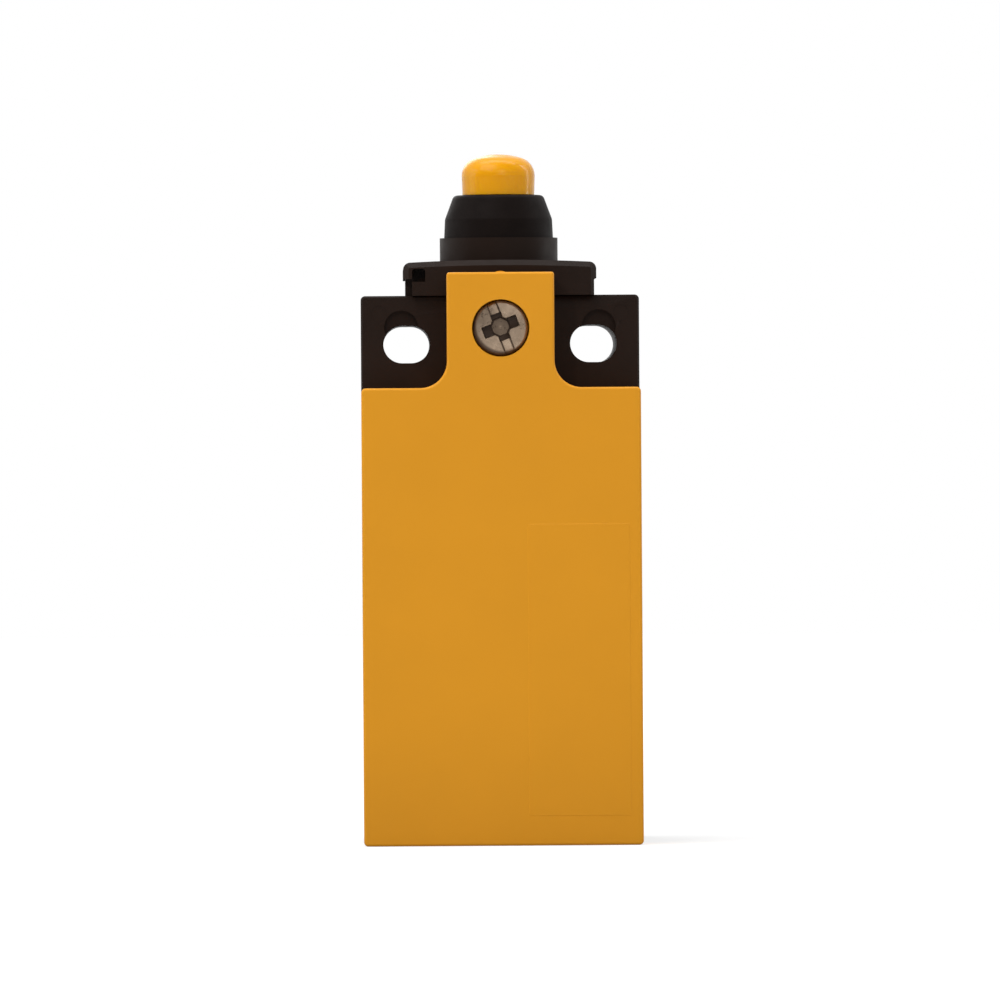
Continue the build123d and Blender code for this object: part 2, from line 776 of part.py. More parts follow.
coil_spring("nc_contact_spring", nc_window_bottom, nc_spring_length,
            contact_spring_radius, contact_spring_wire, contact_spring_turns)
coil_spring("no_contact_spring", no_bridge_top, no_spring_length,
            contact_spring_radius, contact_spring_wire, contact_spring_turns)
coil_spring("return_spring", channel_bottom, carrier_bottom - channel_bottom,
            return_spring_radius, return_spring_wire, return_spring_turns)


# ---------------------------------------------------------------- fixed contacts and terminals
def fixed_contact(name, side, blade, row, arm_side):
    """Pressed brass strip: a screw tab in the well, an arm, and a blade bent forward."""
    blade_edge = blade - arm_side * strip_thickness / 2
    with BuildPart() as strip:
        with BuildSketch(front(terminal_seat_depth)):
            with Locations((side * terminal_offset, row)):
                RectangleRounded(tab_plate_width, tab_plate_height, edge_radius)
                Circle(terminal_screw_radius + fit, mode=Mode.SUBTRACT)
            arm_start = side * blade_inner
            arm_end = side * (terminal_offset - terminal_screw_radius - clear)
            with Locations(((arm_start + arm_end) / 2, blade_edge + arm_side * arm_height / 2)):
                Rectangle(abs(arm_end - arm_start), arm_height)
        extrude(amount=strip_thickness)
        with BuildSketch(front(terminal_seat_depth)):
            with Locations((side * (blade_inner + chamber_half) / 2, blade)):
                Rectangle(chamber_half - blade_inner, strip_thickness)
        extrude(amount=strip_thickness + blade_width)
    finish(strip, name)


fixed_contact("fixed_contact_nc_left", -1, nc_blade, nc_blade, 1)
fixed_contact("fixed_contact_nc_right", 1, nc_blade, nc_blade, 1)
fixed_contact("fixed_contact_no_left", -1, no_blade, no_blade, -1)
fixed_contact("fixed_contact_no_right", 1, no_blade, no_blade, -1)

with BuildPart() as fixed_tips:
    for tip_start, tip_side in ((contact_plane, 1), (no_contact_plane, -1)):
        with BuildSketch(level(tip_start)):
            with GridLocations(2 * tip_offset, 0, 2, 1):
                Circle(tip_radius)
        extrude(amount=tip_side * tip_height)
finish(fixed_tips, "fixed_tips")

with BuildPart() as clamp_plates:
    for row in terminal_rows:
        with BuildSketch(front(clamp_depth)):
            with Locations((0, row)):
                with GridLocations(2 * terminal_offset, 0, 2, 1):
                    Rectangle(clamp_width, clamp_height)
                    Circle(terminal_screw_radius + loose, mode=Mode.SUBTRACT)
        extrude(amount=clamp_thickness)
finish(clamp_plates, "clamp_plates")

with BuildPart() as terminal_screws:
    for row in terminal_rows:
        with BuildSketch(front(head_seat_depth)):
            round_pair(terminal_head_radius, 2 * terminal_offset, row)
        extrude(amount=terminal_head_height)
        with BuildSketch(front(head_seat_depth)):
            round_pair(terminal_screw_radius, 2 * terminal_offset, row)
        extrude(amount=-terminal_screw_length)
        with BuildSketch(front(head_seat_depth + terminal_head_height)):
            with Locations((0, row)):
                with GridLocations(2 * terminal_offset, 0, 2, 1):
                    Rectangle(cross_slot, cross_length)
                    Rectangle(cross_length, cross_slot)
        extrude(amount=-recess_depth, mode=Mode.SUBTRACT)
finish(terminal_screws, "terminal_screws")
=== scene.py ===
"""Finishes, small parts and studio of a plunger limit switch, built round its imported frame."""

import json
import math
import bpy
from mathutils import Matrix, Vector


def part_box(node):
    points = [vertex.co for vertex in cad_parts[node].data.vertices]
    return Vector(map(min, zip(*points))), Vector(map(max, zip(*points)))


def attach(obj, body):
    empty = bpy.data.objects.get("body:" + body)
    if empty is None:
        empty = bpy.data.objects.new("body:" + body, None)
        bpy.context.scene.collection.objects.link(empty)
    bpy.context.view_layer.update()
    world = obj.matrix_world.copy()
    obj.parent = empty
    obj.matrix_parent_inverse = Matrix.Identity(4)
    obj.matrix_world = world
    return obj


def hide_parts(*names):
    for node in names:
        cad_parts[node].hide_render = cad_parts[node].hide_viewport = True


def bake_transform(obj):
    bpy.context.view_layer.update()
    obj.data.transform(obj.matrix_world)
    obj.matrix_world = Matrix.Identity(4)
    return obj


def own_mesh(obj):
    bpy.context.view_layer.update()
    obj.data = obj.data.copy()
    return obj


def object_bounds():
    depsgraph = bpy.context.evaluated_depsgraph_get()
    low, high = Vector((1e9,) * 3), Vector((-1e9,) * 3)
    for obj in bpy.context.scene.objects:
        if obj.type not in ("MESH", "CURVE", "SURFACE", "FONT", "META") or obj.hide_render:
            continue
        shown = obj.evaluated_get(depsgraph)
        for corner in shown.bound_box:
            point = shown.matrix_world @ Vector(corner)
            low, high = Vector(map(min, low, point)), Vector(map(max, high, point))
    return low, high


bl_info = {
    "name": "Plunger Limit Switch",
    "version": (1, 0, 0),
    "blender": (4, 5, 0),
    "location": "View3D > Sidebar > Limit Switch",
    "description": "Gives a limit switch its moulded, rubber and metal surfaces",
    "category": "Object",
}

from collections import namedtuple

import bmesh
import bpy
import numpy as np
from mathutils import Matrix, Vector

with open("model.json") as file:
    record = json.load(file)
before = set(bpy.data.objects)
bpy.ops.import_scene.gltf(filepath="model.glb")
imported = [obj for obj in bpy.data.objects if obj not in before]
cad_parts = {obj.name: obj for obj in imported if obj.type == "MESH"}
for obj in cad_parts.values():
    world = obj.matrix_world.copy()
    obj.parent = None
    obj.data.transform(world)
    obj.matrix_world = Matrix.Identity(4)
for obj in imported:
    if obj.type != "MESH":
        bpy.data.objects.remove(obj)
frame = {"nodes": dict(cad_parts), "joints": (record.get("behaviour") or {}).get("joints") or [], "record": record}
cad_box = [list(corner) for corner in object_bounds()]

MM = 0.001
TURN = 2 * math.pi
WELD = 1e-7  # metres, within which two points are one
ARC = 7  # points round each corner of an outline

# Soft patches over a surface: how wide they are in millimetres, the two values they lie between,
# how many finer sets of patches are laid over them, and how strong each finer set is.
Patches = namedtuple("Patches", "width low high detail harshness", defaults=(2.0, 0.5))


# ---------------------------------------------------------------- colours and shader nodes
def linear(code):
    """Turns an sRGB hex colour into linear red, green and blue."""
    shares = [int(code[i:i + 2], 16) / 255 for i in (1, 3, 5)]
    return tuple(s / 12.92 if s <= 0.04045 else ((s + 0.055) / 1.055) ** 2.4 for s in shares)


def add(tree, kind, inputs=(), **settings):
    """Adds a shader node with its settings. Each input is a value, a socket, or a node, whose
    first output it takes."""
    made = tree.nodes.new(kind)
    for name, value in settings.items():
        setattr(made, name, value)
    for key, value in dict(inputs).items():
        if isinstance(value, bpy.types.Node):
            value = value.outputs[0]
        if isinstance(value, bpy.types.NodeSocket):
            tree.links.new(value, made.inputs[key])
        else:
            made.inputs[key].default_value = value
    return made


def empty_tree(made):
    """The emptied node tree of a material or a world."""
    made.use_nodes = True
    made.node_tree.nodes.clear()
    return made.node_tree


def finish(name, colour, patches, stretch=(1, 1, 1), **shader_inputs):
    """A material and its shader. Patches in millimetres on the object vary the sockets they are
    given for: shares of the colour, roughness, or the height of bumps in millimetres."""
    made = bpy.data.materials.new(name)
    tree = empty_tree(made)
    metres = add(tree, "ShaderNodeTexCoord").outputs["Object"]
    place = add(tree, "ShaderNodeMapping",
                {"Vector": metres, "Scale": [share / MM for share in stretch]})
    shader = add(tree, "ShaderNodeBsdfPrincipled",
                 {key.replace("_", " "): value for key, value in shader_inputs.items()})
    add(tree, "ShaderNodeOutputMaterial", {"Surface": shader})
    for socket, patch in patches.items():
        noise = add(tree, "ShaderNodeTexNoise",
                    {"Vector": place, "Scale": 1 / patch.width, "Detail": patch.detail,
                     "Roughness": patch.harshness})
        # Nearly all of the noise lies in this range
        usual = {"Value": noise, "From Min": 0.35, "From Max": 0.65}
        if socket == "Base Color":
            light, dark = [[share * c for c in colour[:3]] + [1]
                           for share in (patch.high, patch.low)]
            amount = add(tree, "ShaderNodeMapRange", usual)
            value = add(tree, "ShaderNodeMix", {0: amount, 6: dark, 7: light},
                        data_type="RGBA").outputs[2]
        elif socket == "Normal":
            value = add(tree, "ShaderNodeBump",
                        {"Height": noise, "Distance": patch.high * MM}).outputs["Normal"]
        else:
            value = add(tree, "ShaderNodeMapRange",
                        {**usual, "To Min": patch.low, "To Max": patch.high}).outputs["Result"]
        tree.links.new(value, shader.inputs[socket])
    return made, shader


# ---------------------------------------------------------------- materials
def moulded_plastic(name, colour, gloss, grain=0.16, height=0.006, clouds=9.0, depth=0.94,
                    swing=0.04, **more):
    """Moulded engineering plastic: a spark-eroded tool leaves a fine even grain that softens every
    reflection, and the melt leaves clouds a few millimetres wide in colour and in gloss. The grain
    is drawn a few tenths of a millimetre wide, coarser than the real one, so that it shows."""
    return finish(name, colour, {
        "Base Color": Patches(clouds, depth, 1),
        "Roughness": Patches(clouds / 3, gloss - swing, gloss + swing),
        "Normal": Patches(grain, 0, height, 3.0, 0.6),
    }, **more)[0]


def plated_steel(name, colour, shade_colour, gloss, clouds=0.9, marks=0.35):
    """Zinc-plated steel, cold headed: a grey, slightly warm metal with tumbling marks and cloudy
    plating. Where the mesh's painted_shade attribute says, it turns a dull dark brown and less
    metallic: painted shade in the recess and at the rim."""
    made, shader = finish(name, colour, {
        "Base Color": Patches(clouds, 0.8, 1, 3.0),
        "Roughness": Patches(marks, gloss - 0.05, gloss + 0.12, 3.0, 0.6),
        "Normal": Patches(marks, 0, 0.006, 3.0, 0.6),
    }, Specular_IOR_Level=0.15)
    tree = made.node_tree
    clean = shader.inputs["Base Color"].links[0].from_socket
    # Painted shade: the attribute mixes in a dark brown and lowers the metal, darkening the recess
    painted_shade = add(tree, "ShaderNodeAttribute", attribute_name="painted_shade").outputs["Fac"]
    skin = add(tree, "ShaderNodeMix", {0: painted_shade, 6: clean, 7: (*shade_colour[:3], 1)}, data_type="RGBA")
    metal = add(tree, "ShaderNodeMapRange", {"Value": painted_shade, "To Min": 1.0, "To Max": 0.1})
    tree.links.new(skin.outputs[2], shader.inputs["Base Color"])
    tree.links.new(metal.outputs["Result"], shader.inputs["Metallic"])
    return made


def plain_metal(name, colour, gloss, stretch=(1.0, 1.0, 1.0), marks=0.2):
    """Rolled or drawn metal: fine marks drawn out along the rolling direction."""
    return finish(name, colour, {
        "Base Color": Patches(marks, 0.85, 1, 3.0, 0.6),
        "Roughness": Patches(marks, gloss - 0.06, gloss + 0.08, 3.0, 0.6),
    }, stretch, Metallic=1.0)[0]


def moulded_rubber(name, colour, bloom=2.5, skin=0.12):
    """Nitrile rubber, moulded: almost black and matt, with a faint bloom in patches."""
    return finish(name, colour, {
        "Base Color": Patches(bloom, 0.8, 1, 4.0, 0.6),
        "Roughness": Patches(bloom, 0.62, 0.5, 4.0, 0.6),
        "Normal": Patches(skin, 0, 0.004),
    }, Specular_IOR_Level=0.06)[0]


# ---------------------------------------------------------------- surfaces
def rounded(corners):
    """Outline through (x, y, rounding) corners. Round a corner it is the corner's place, plus the
    way back times (1 - t) squared, plus the way on times t squared, with t from 0 to 1."""
    corners = np.array(corners, float)
    place, rounding = corners[:, :2], corners[:, 2:]
    back = np.roll(place, 1, axis=0) - place
    on = np.roll(place, -1, axis=0) - place
    back *= rounding / np.linalg.norm(back, axis=1, keepdims=True)
    on *= rounding / np.linalg.norm(on, axis=1, keepdims=True)
    t = np.linspace(0, 1, ARC)[None, :, None]
    arcs = place[:, None] + back[:, None] * (1 - t) ** 2 + on[:, None] * t**2
    return arcs.reshape(-1, 2)


def stations(outline, step):
    """The outline's own points, and more between them so that none lie further apart than step."""
    lengths = np.linalg.norm(np.diff(outline, axis=0), axis=1)
    run = np.concatenate([[0], np.cumsum(lengths)])
    at = np.union1d(run, np.arange(0, run[-1], step))
    return np.column_stack([np.interp(at, run, column) for column in outline.T])


def angles(count):
    """That many even angles round a circle."""
    return np.arange(count) / count * TURN


def about(axis, radius, angle, height):
    """Points about an upright axis: (axis x + r cos a, axis y + r sin a, z) for the radii r, the
    angles a and the heights z."""
    return np.stack([axis[0] + radius * np.cos(angle), axis[1] + radius * np.sin(angle),
                     height + 0 * angle], axis=-1)


def surface(name, grid, ring=False):
    """Mesh of a grid of points, closed along its second direction and, with ring, its first too:
    a quad between each four neighbours, then poles and seams welded and faces turned outwards."""
    rows, columns = grid.shape[:2]
    index = np.arange(rows * columns).reshape(rows, columns)
    index = np.concatenate([index, index[:, :1]], axis=1)
    if ring:
        index = np.concatenate([index, index[:1]], axis=0)
    quads = np.stack([index[:-1, :-1], index[1:, :-1], index[1:, 1:], index[:-1, 1:]], axis=-1)
    mesh = bpy.data.meshes.new(name)
    mesh.vertices.add(rows * columns)
    mesh.vertices.foreach_set("co", (grid * MM).ravel())
    mesh.loops.add(quads.size)
    mesh.loops.foreach_set("vertex_index", quads.ravel())
    mesh.polygons.add(quads.size // 4)
    mesh.polygons.foreach_set("loop_start", np.arange(0, quads.size, 4))
    mesh.update(calc_edges=True)
    weld(mesh)
    piece = bpy.data.objects.new(name, mesh)
    bpy.context.scene.collection.objects.link(piece)
    return piece


def weld(mesh, sharp=35.0, flat=0.0):
    """Merges a mesh's doubles, joins faces that lie in one plane to within flat degrees, turns all
    faces outwards and shades the mesh smooth, apart from edges sharper than sharp degrees."""
    shape = bmesh.new()
    shape.from_mesh(mesh)
    bmesh.ops.remove_doubles(shape, verts=shape.verts, dist=WELD)
    bmesh.ops.dissolve_degenerate(shape, edges=shape.edges, dist=WELD)
    if flat:
        bmesh.ops.dissolve_limit(shape, angle_limit=math.radians(flat), verts=shape.verts,
                                 edges=shape.edges)
    bmesh.ops.recalc_face_normals(shape, faces=shape.faces)
    shape.to_mesh(mesh)
    shape.free()
    mesh.shade_smooth()
    mesh.set_sharp_from_angle(angle=math.radians(sharp))


def apply(piece, kind, **settings):
    """Gives the piece a modifier with its settings and keeps what it makes as the piece's mesh."""
    modifier = piece.modifiers.new("once", kind)
    for name, value in settings.items():
        setattr(modifier, name, value)
    bpy.context.view_layer.update()
    evaluated = piece.evaluated_get(bpy.context.evaluated_depsgraph_get())
    made = bpy.data.meshes.new_from_object(evaluated)
    piece.modifiers.clear()
    piece.data = made


def coil(axis, bottom, top, radius, wire, turns, dead=1.0, around=14, per_turn=40):
    """Spring of round wire: the wire's middle is (r cos a, r sin a, h), where a grows evenly and h
    climbs one wire a turn in the dead end turns and evenly between them. Round that line lies a
    circle of the wire's radius, shrunk to a point at both ends."""
    turn = np.linspace(0, turns, int(turns * per_turn) + 1)
    turn = np.concatenate([turn[:1], turn, turn[-1:]])
    climb = top - bottom - wire
    rise = np.interp(turn, [0, dead, turns - dead, turns],
                     [0, dead * wire, climb - dead * wire, climb])
    half = np.full(turn.shape, wire / 2)
    half[[0, -1]] = 0
    reach = radius + half[:, None] * np.cos(angles(around))
    height = (bottom + wire / 2 + rise)[:, None] + half[:, None] * np.sin(angles(around))
    return about(axis, reach, (turn * TURN)[:, None], height)


def millimetres(node):
    """Lowest and highest corners of a CAD node, in millimetres."""
    low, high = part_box(node)
    return np.array(low) / MM, np.array(high) / MM


def middle(node):
    """Middle of a CAD node's box, in millimetres."""
    low, high = millimetres(node)
    return (low + high) / 2


def paint(piece, material):
    """Gives the whole piece one material."""
    piece.data.materials.clear()
    piece.data.materials.append(material)


def paint_nodes(material, *nodes):
    """Gives CAD nodes one material."""
    for name in nodes:
        paint(frame["nodes"][name], material)


# ---------------------------------------------------------------- what a user would change
def colour_property(name, description, code):
    """Property for a colour, given as an sRGB hex value."""
    return bpy.props.FloatVectorProperty(
        name=name, description=description, subtype="COLOR", size=3, min=0, max=1,
        default=linear(code))


def length_property(name, description, length):
    """Property for a length, given in millimetres."""
    return bpy.props.FloatProperty(
        name=name, description=description, subtype="DISTANCE", unit="LENGTH", precision=5,
        default=length * MM)


class SwitchColours(bpy.types.PropertyGroup):
    """Colours of the switch's materials."""

    cover: colour_property("Cover", "Yellow nylon of the front cover", "#D8921B")
    housing: colour_property("Housing", "Black nylon of the base and the plunger head", "#20150F")
    cap: colour_property("Cap", "Yellow acetal of the plunger's cap", "#DE9A08")
    rubber: colour_property("Rubber", "Nitrile rubber of the boot and the seals", "#150F0D")
    screw: colour_property("Screws", "Zinc-plated steel of the screws", "#B09A84")
    # Dark brown painted into the cover screw's recess and rim as shade
    shade_colour: colour_property("Shade", "Grease in the cover screw's recess", "#2A1A10")
    block: colour_property("Contact block", "Thermoset of the contact block", "#6B6A66")
    acetal: colour_property("White acetal", "Acetal of the plunger rod and the carrier", "#E4DFD2")
    window: colour_property("Block window", "Clear plate over the contacts", "#DDE3E3")
    brass: colour_property("Brass", "Brass strips of the terminals", "#C9A25C")
    silver: colour_property("Silver", "Silver of the contact tips", "#D9D6CE")
    wire: colour_property("Spring wire", "Drawn steel wire of the springs", "#8E8B86")


class SwitchSizes(bpy.types.PropertyGroup):
    """Sizes of the fine detail that the finishes and small parts add."""

    entry_pitch: length_property("Entry pitch", "Pitch of the cable entry's thread", 1.5)
    entry_minor: length_property("Entry minor radius", "Radius of the entry thread's crests", 9.19)
    entry_major: length_property("Entry major radius", "Radius of the entry thread's roots", 10.0)
    screw_pitch: length_property("Screw pitch", "Pitch of the cover screw's thread", 0.5)
    slot_width: length_property("Slot width", "Width of the cover screw's slot", 1.08)
    slot_depth: length_property("Slot depth", "Depth of the cover screw's slot", 0.45)
    cross_depth: length_property("Cross depth", "Depth of the cover screw's cross recess", 1.25)
    wire: length_property("Contact wire", "Wire of the two contact springs", 0.3)
    return_wire: length_property("Return wire", "Wire of the return spring", 0.45)


def colours():
    """The colours now set."""
    return bpy.context.scene.switch_colours


def size(name):
    """One of the sizes now set, in millimetres."""
    return getattr(bpy.context.scene.switch_sizes, name) / MM


# ---------------------------------------------------------------- housing and cover
class SWITCH_OT_housing(bpy.types.Operator):
    """Base with the cable entry's thread cut in it, and the plunger head, both in black nylon"""

    bl_idname = "switch.housing"
    bl_label = "Housing and head"

    def execute(self, context):
        # Black glass-filled nylon, moulded: a dense satin black with a hint of brown
        black = moulded_plastic("black nylon, moulded", colours().housing, 0.5, grain=0.18,
                                height=0.008, clouds=6.0, depth=0.8, Specular_IOR_Level=0.11)
        paint_nodes(black, "housing_base", "head_plate")
        base = bpy.data.objects.new("base_shell", frame["nodes"]["housing_base"].data.copy())
        context.scene.collection.objects.link(base)
        weld(base.data)
        cutter = surface("entry_thread", self.thread())
        apply(base, "BOOLEAN", operation="DIFFERENCE", solver="EXACT", object=cutter)
        bpy.data.objects.remove(cutter)
        weld(base.data, sharp=28, flat=0.3)
        apply(base, "WEIGHTED_NORMAL", keep_sharp=True)
        paint(base, black)
        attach(base, "housing")
        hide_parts("housing_base")
        return {"FINISHED"}

    def thread(self, turns=6, rings=97, columns=96, peak=1.35, slope=3.2, under=0.2, inset=0.05):
        """Cutter for the cable entry: over height z and angle a its radius swings between just
        inside the thread's crests and its roots as a triangle wave of (z / pitch - a / turn), cut
        off at both ends, and it fades out over the last turn."""
        pitch, minor, major = size("entry_pitch"), size("entry_minor"), size("entry_major")
        entry = next(m for m in frame["record"]["mounts"] if m["name"] == "cable_entry")
        bottom, length = cad_box[0][2] / MM, turns * pitch
        height = np.linspace(0, length, rings)[:, None]
        angle = angles(columns)
        phase = (height / pitch - angle / TURN) % 1
        flank = np.clip(peak - slope * np.abs(2 * phase - 1), -under, 1)
        fade = np.clip((length - height) / pitch, 0, 1)
        radius = minor + (major - minor) * flank * fade - inset
        poles = np.zeros((1, columns))
        radius = np.concatenate([poles, radius, poles])
        height = np.concatenate([height[:1], height, height[-1:]]) + bottom
        return about(np.array(entry["pos_m"][:2]) / MM, radius, angle, height)


class SWITCH_OT_cover(bpy.types.Operator):
    """Front cover in yellow nylon"""

    bl_idname = "switch.cover"
    bl_label = "Front cover"

    def execute(self, context):
        # Glass-filled nylon, moulded: a warm opaque yellow, matt from the tool's fine grain
        yellow = moulded_plastic("yellow nylon, moulded", colours().cover, 0.46, grain=0.2,
                                 height=0.006, clouds=11.0, depth=0.975, Specular_IOR_Level=0.2)
        paint_nodes(yellow, "front_cover")
        return {"FINISHED"}


class SWITCH_OT_cover_screw(bpy.types.Operator):
    """Captive cover screw with its combined slot and cross recess"""

    bl_idname = "switch.cover_screw"
    bl_label = "Cover screw"

    def execute(self, context):
        # Zinc-plated steel, cold headed: warm grey and softly shining, with painted shade in its
        # recess and at its rim
        steel = plated_steel("zinc-plated steel, cold headed", colours().screw, colours().shade_colour,
                             0.3)
        screw = surface("captive_screw", self.body())
        self.paint_shade(screw.data)
        paint(screw, steel)
        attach(screw, "housing")
        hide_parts("cover_screw")
        paint_nodes(steel, "block_screws", "terminal_screws", "clamp_plates")
        return {"FINISHED"}

    def body(self, shank=1.5, head_height=2.05, face=1.1, edge=0.06, corner=0.4, bulge=0.28,
             chamfer=0.5, core=0.6, cut=0.55, step=0.03, columns=360):
        """A turned body about the screw's axis: (r cos a, depth, r sin a) over the outline and the
        angle. The head's face falls back by bulge times (r / head radius) squared, and by its
        recess. The shank's radius is less by a triangle wave of (depth / pitch - a / turn)."""
        low, high = millimetres("cover_screw")
        centre = (low + high) / 2
        head, length, pitch = (high[0] - low[0]) / 2, high[1] - low[1], size("screw_pitch")
        side = rounded([(0, 0, 0), (head, edge, corner), (head, head_height, 0)])[ARC:-ARC]
        top = np.concatenate([stations(np.array([[0, 0], side[0]]), step), stations(side, step)])
        top[:, 1] += bulge * (top[:, 0] / head) ** 2
        rest = stations(np.array([[head, head_height], [shank, head_height],
                                  [shank, length - chamfer], [shank - chamfer, length],
                                  [0, length]]), pitch / 8)
        outline = np.concatenate([top, rest])
        angle = angles(columns)
        radius = outline[:, :1] + 0 * angle
        depth = outline[:, 1:] + 0 * angle
        wave = np.abs(((depth / pitch - angle / TURN) % 1) * 2 - 1)
        threaded = (radius > core * shank) & (radius <= shank) & (depth > head_height + pitch)
        radius = radius - np.where(threaded, cut * pitch * wave, 0)
        across, along = radius * np.cos(angle), radius * np.sin(angle)
        on_face = (np.arange(len(outline))[:, None] < len(top)) & (outline[:, 1:] < face)
        depth = depth + np.where(on_face, self.drive(across, along)[0], 0)
        return np.stack([centre[0] + across, low[1] + depth, centre[2] + along], axis=-1)

    def paint_shade(self, mesh, front=1.8):
        """Stores the drive's painted shade on the front of the mesh, as the attribute its steel reads."""
        low, high = millimetres("cover_screw")
        centre = (low + high) / 2
        co = np.empty(len(mesh.vertices) * 3)
        mesh.vertices.foreach_get("co", co)
        x, y, z = co.reshape(-1, 3).T / MM
        painted_shade = np.where(y < low[1] + front, self.drive(x - centre[0], z - centre[2])[1], 0)
        mesh.attributes.new("painted_shade", "FLOAT", "POINT").data.foreach_set("value", painted_shade)

    def drive(self, across, along, turn=math.radians(21), off=(-0.02, 0.14), wall=0.05):
        """Depth and painted shade of the drive, which is struck a little off the head's middle. Its
        depth is the deepest of a slot from rim to rim, a tapering cross inside it and an eight-sided
        socket in the middle, each a smooth step one wall wide. Painted shade fills the cross, is
        thinner in the socket and leaves its pip bare, darkens the slot's edges, lies as a thin even
        darkening on the head outside the slot and thickens towards the rim, most of all at the lower
        left, as shade that the recess casts."""
        across, along = across - off[0], along - off[1]
        x = across * math.cos(turn) + along * math.sin(turn)
        y = along * math.cos(turn) - across * math.sin(turn)
        out = np.hypot(x, y)

        def inside(distance):
            step = np.clip(0.5 - distance / wall / 2, 0, 1)
            return step * step * (3 - 2 * step)

        def wing(run, side, reach, half_width):
            return np.maximum(np.abs(run) - reach, np.abs(side) - half_width)

        slot_edge = np.abs(x) - size("slot_width") / 2
        wings = inside(np.minimum(wing(x, y, 2.0, 0.62), wing(y, x, 1.54, 0.6)))
        flats, corners = np.maximum(np.abs(x), np.abs(y)), (np.abs(x) + np.abs(y)) / 2**0.5
        socket_edge = np.maximum(flats, corners) - 1.08
        cross = size("cross_depth")
        taper = np.clip(1.15 - 0.25 * out, 0.5, 1)
        depth = np.maximum(size("slot_depth") * inside(slot_edge), cross * taper * wings)
        depth = np.maximum(depth, cross * inside(socket_edge))

        # Shares of painted shade, then the distances in millimetres over which it spreads
        deep_shade, thin, face_darkening, most = 0.95, 0.6, 0.22, 0.8
        line, line_end, pip, bottom_step = 0.11, 2.75, 0.13, 0.2
        rim_start, rim_width, lean = 2.65, 0.4, 0.33
        on_bottom = inside(socket_edge + bottom_step)
        recess_shade = deep_shade * np.maximum(wings, inside(socket_edge))
        slot_edge_shade = deep_shade * np.exp(-(slot_edge / line) ** 2) * (out < line_end)
        # Painted shade at the rim leans to the lower left, where the recess wall shades the head
        low_left = -(across + along) / np.maximum(out, 0.1) / 2**0.5
        rim = most * np.clip((out - rim_start + lean * low_left) / rim_width, 0, 1) ** 1.5
        outside = np.max([recess_shade, slot_edge_shade, rim, face_darkening * (slot_edge > 0)], axis=0)
        bottom = on_bottom * thin * (1 - np.exp(-(out / pip) ** 2))
        return depth, np.where(on_bottom > 0.5, bottom, outside)


# ---------------------------------------------------------------- plunger
class SWITCH_OT_plunger(bpy.types.Operator):
    """Cap, rubber boot and rod of the plunger"""

    bl_idname = "switch.plunger"
    bl_label = "Plunger and boot"

    def execute(self, context):
        # Yellow acetal, moulded: slippery and glossier than the nylon, with a slight glow under
        # its skin that warms its thin edges
        cap = moulded_plastic("yellow acetal, moulded", colours().cap, 0.22, grain=0.5,
                              height=0.002, clouds=4.0, depth=0.96, Specular_IOR_Level=0.2,
                              Subsurface_Weight=0.4, Subsurface_Scale=1.2 * MM,
                              Subsurface_Radius=(1.0, 0.8, 0.3))
        paint_nodes(cap, "plunger_cap")
        # White acetal, moulded: off-white, smooth and waxy
        white = moulded_plastic("white acetal, moulded", colours().acetal, 0.32, grain=0.5,
                                height=0.003, Specular_IOR_Level=0.4)
        paint_nodes(white, "plunger_rod", "contact_carrier", "screw_retainer")
        # Nitrile rubber, moulded: nearly black and dull, so that its folds show only at their edges
        rubber = moulded_rubber("nitrile rubber, moulded", colours().rubber)
        paint_nodes(rubber, "rubber_boot", "head_seal", "cover_gasket")
        boot = surface("bellows_boot", self.boot(), ring=True)
        paint(boot, rubber)
        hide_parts("rubber_boot")
        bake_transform(boot)
        return {"FINISHED"}

    def boot(self, wall=0.85, sleeve=3.9, cone=2.7, lean=0.1, inset=1.1, neck=2.65, rim=1.55,
             step=0.4, columns=128):
        """Sleeve, knee, cone and rim in one outline, turned about the plunger's axis: over the
        outline and the angle a, the points lie at (r cos a, r sin a, z)."""
        low, high = millimetres("rubber_boot")
        foot, top, outer = low[2], high[2], (high[0] - low[0]) / 2
        shoulder, knee = outer - inset, top - cone
        outline = rounded([(outer, foot, 0.1), (outer, foot + sleeve, 0.3),
                           (outer - lean, knee, 0.12), (shoulder, top, 0.45), (neck, top, 0),
                           (neck, top - rim, 0), (shoulder - wall, top - rim, 0.3),
                           (outer - wall, knee - wall / 2, 0.2), (outer - wall, foot, 0.1)])
        outline = stations(np.concatenate([outline, outline[:1]]), step)[:-1]
        return about(middle("rubber_boot"), outline[:, :1], angles(columns), outline[:, 1:])


# ---------------------------------------------------------------- contacts
class SWITCH_OT_contacts(bpy.types.Operator):
    """Contact block, terminals and bridges inside the housing"""

    bl_idname = "switch.contacts"
    bl_label = "Contact block"

    def execute(self, context):
        # Mineral-filled thermoset, pressed: dull grey with a dry surface
        grey = moulded_plastic("grey thermoset, pressed", colours().block, 0.55, grain=0.25,
                               height=0.01, clouds=3.0, depth=0.85, Specular_IOR_Level=0.3)
        paint_nodes(grey, "contact_block")
        # Polycarbonate, moulded: clear and glossy
        clear = moulded_plastic("clear polycarbonate, moulded", colours().window, 0.12, grain=0.8,
                                height=0.002, IOR=1.58, Transmission_Weight=0.85)
        paint_nodes(clear, "block_plate")
        # Brass strip, rolled and stamped: a soft yellow metal with marks along the roll
        brass = plain_metal("brass, rolled and stamped", colours().brass, 0.28, (0.2, 1.0, 1.0))
        paint_nodes(brass, "fixed_contact_nc_left", "fixed_contact_nc_right",
                    "fixed_contact_no_left", "fixed_contact_no_right", "nc_bridge", "no_bridge",
                    "screw_insert")
        # Silver alloy, riveted: white metal, bright where it meets its partner
        silver = plain_metal("silver alloy, riveted", colours().silver, 0.22)
        paint_nodes(silver, "fixed_tips", "nc_bridge_tips", "no_bridge_tips")
        return {"FINISHED"}


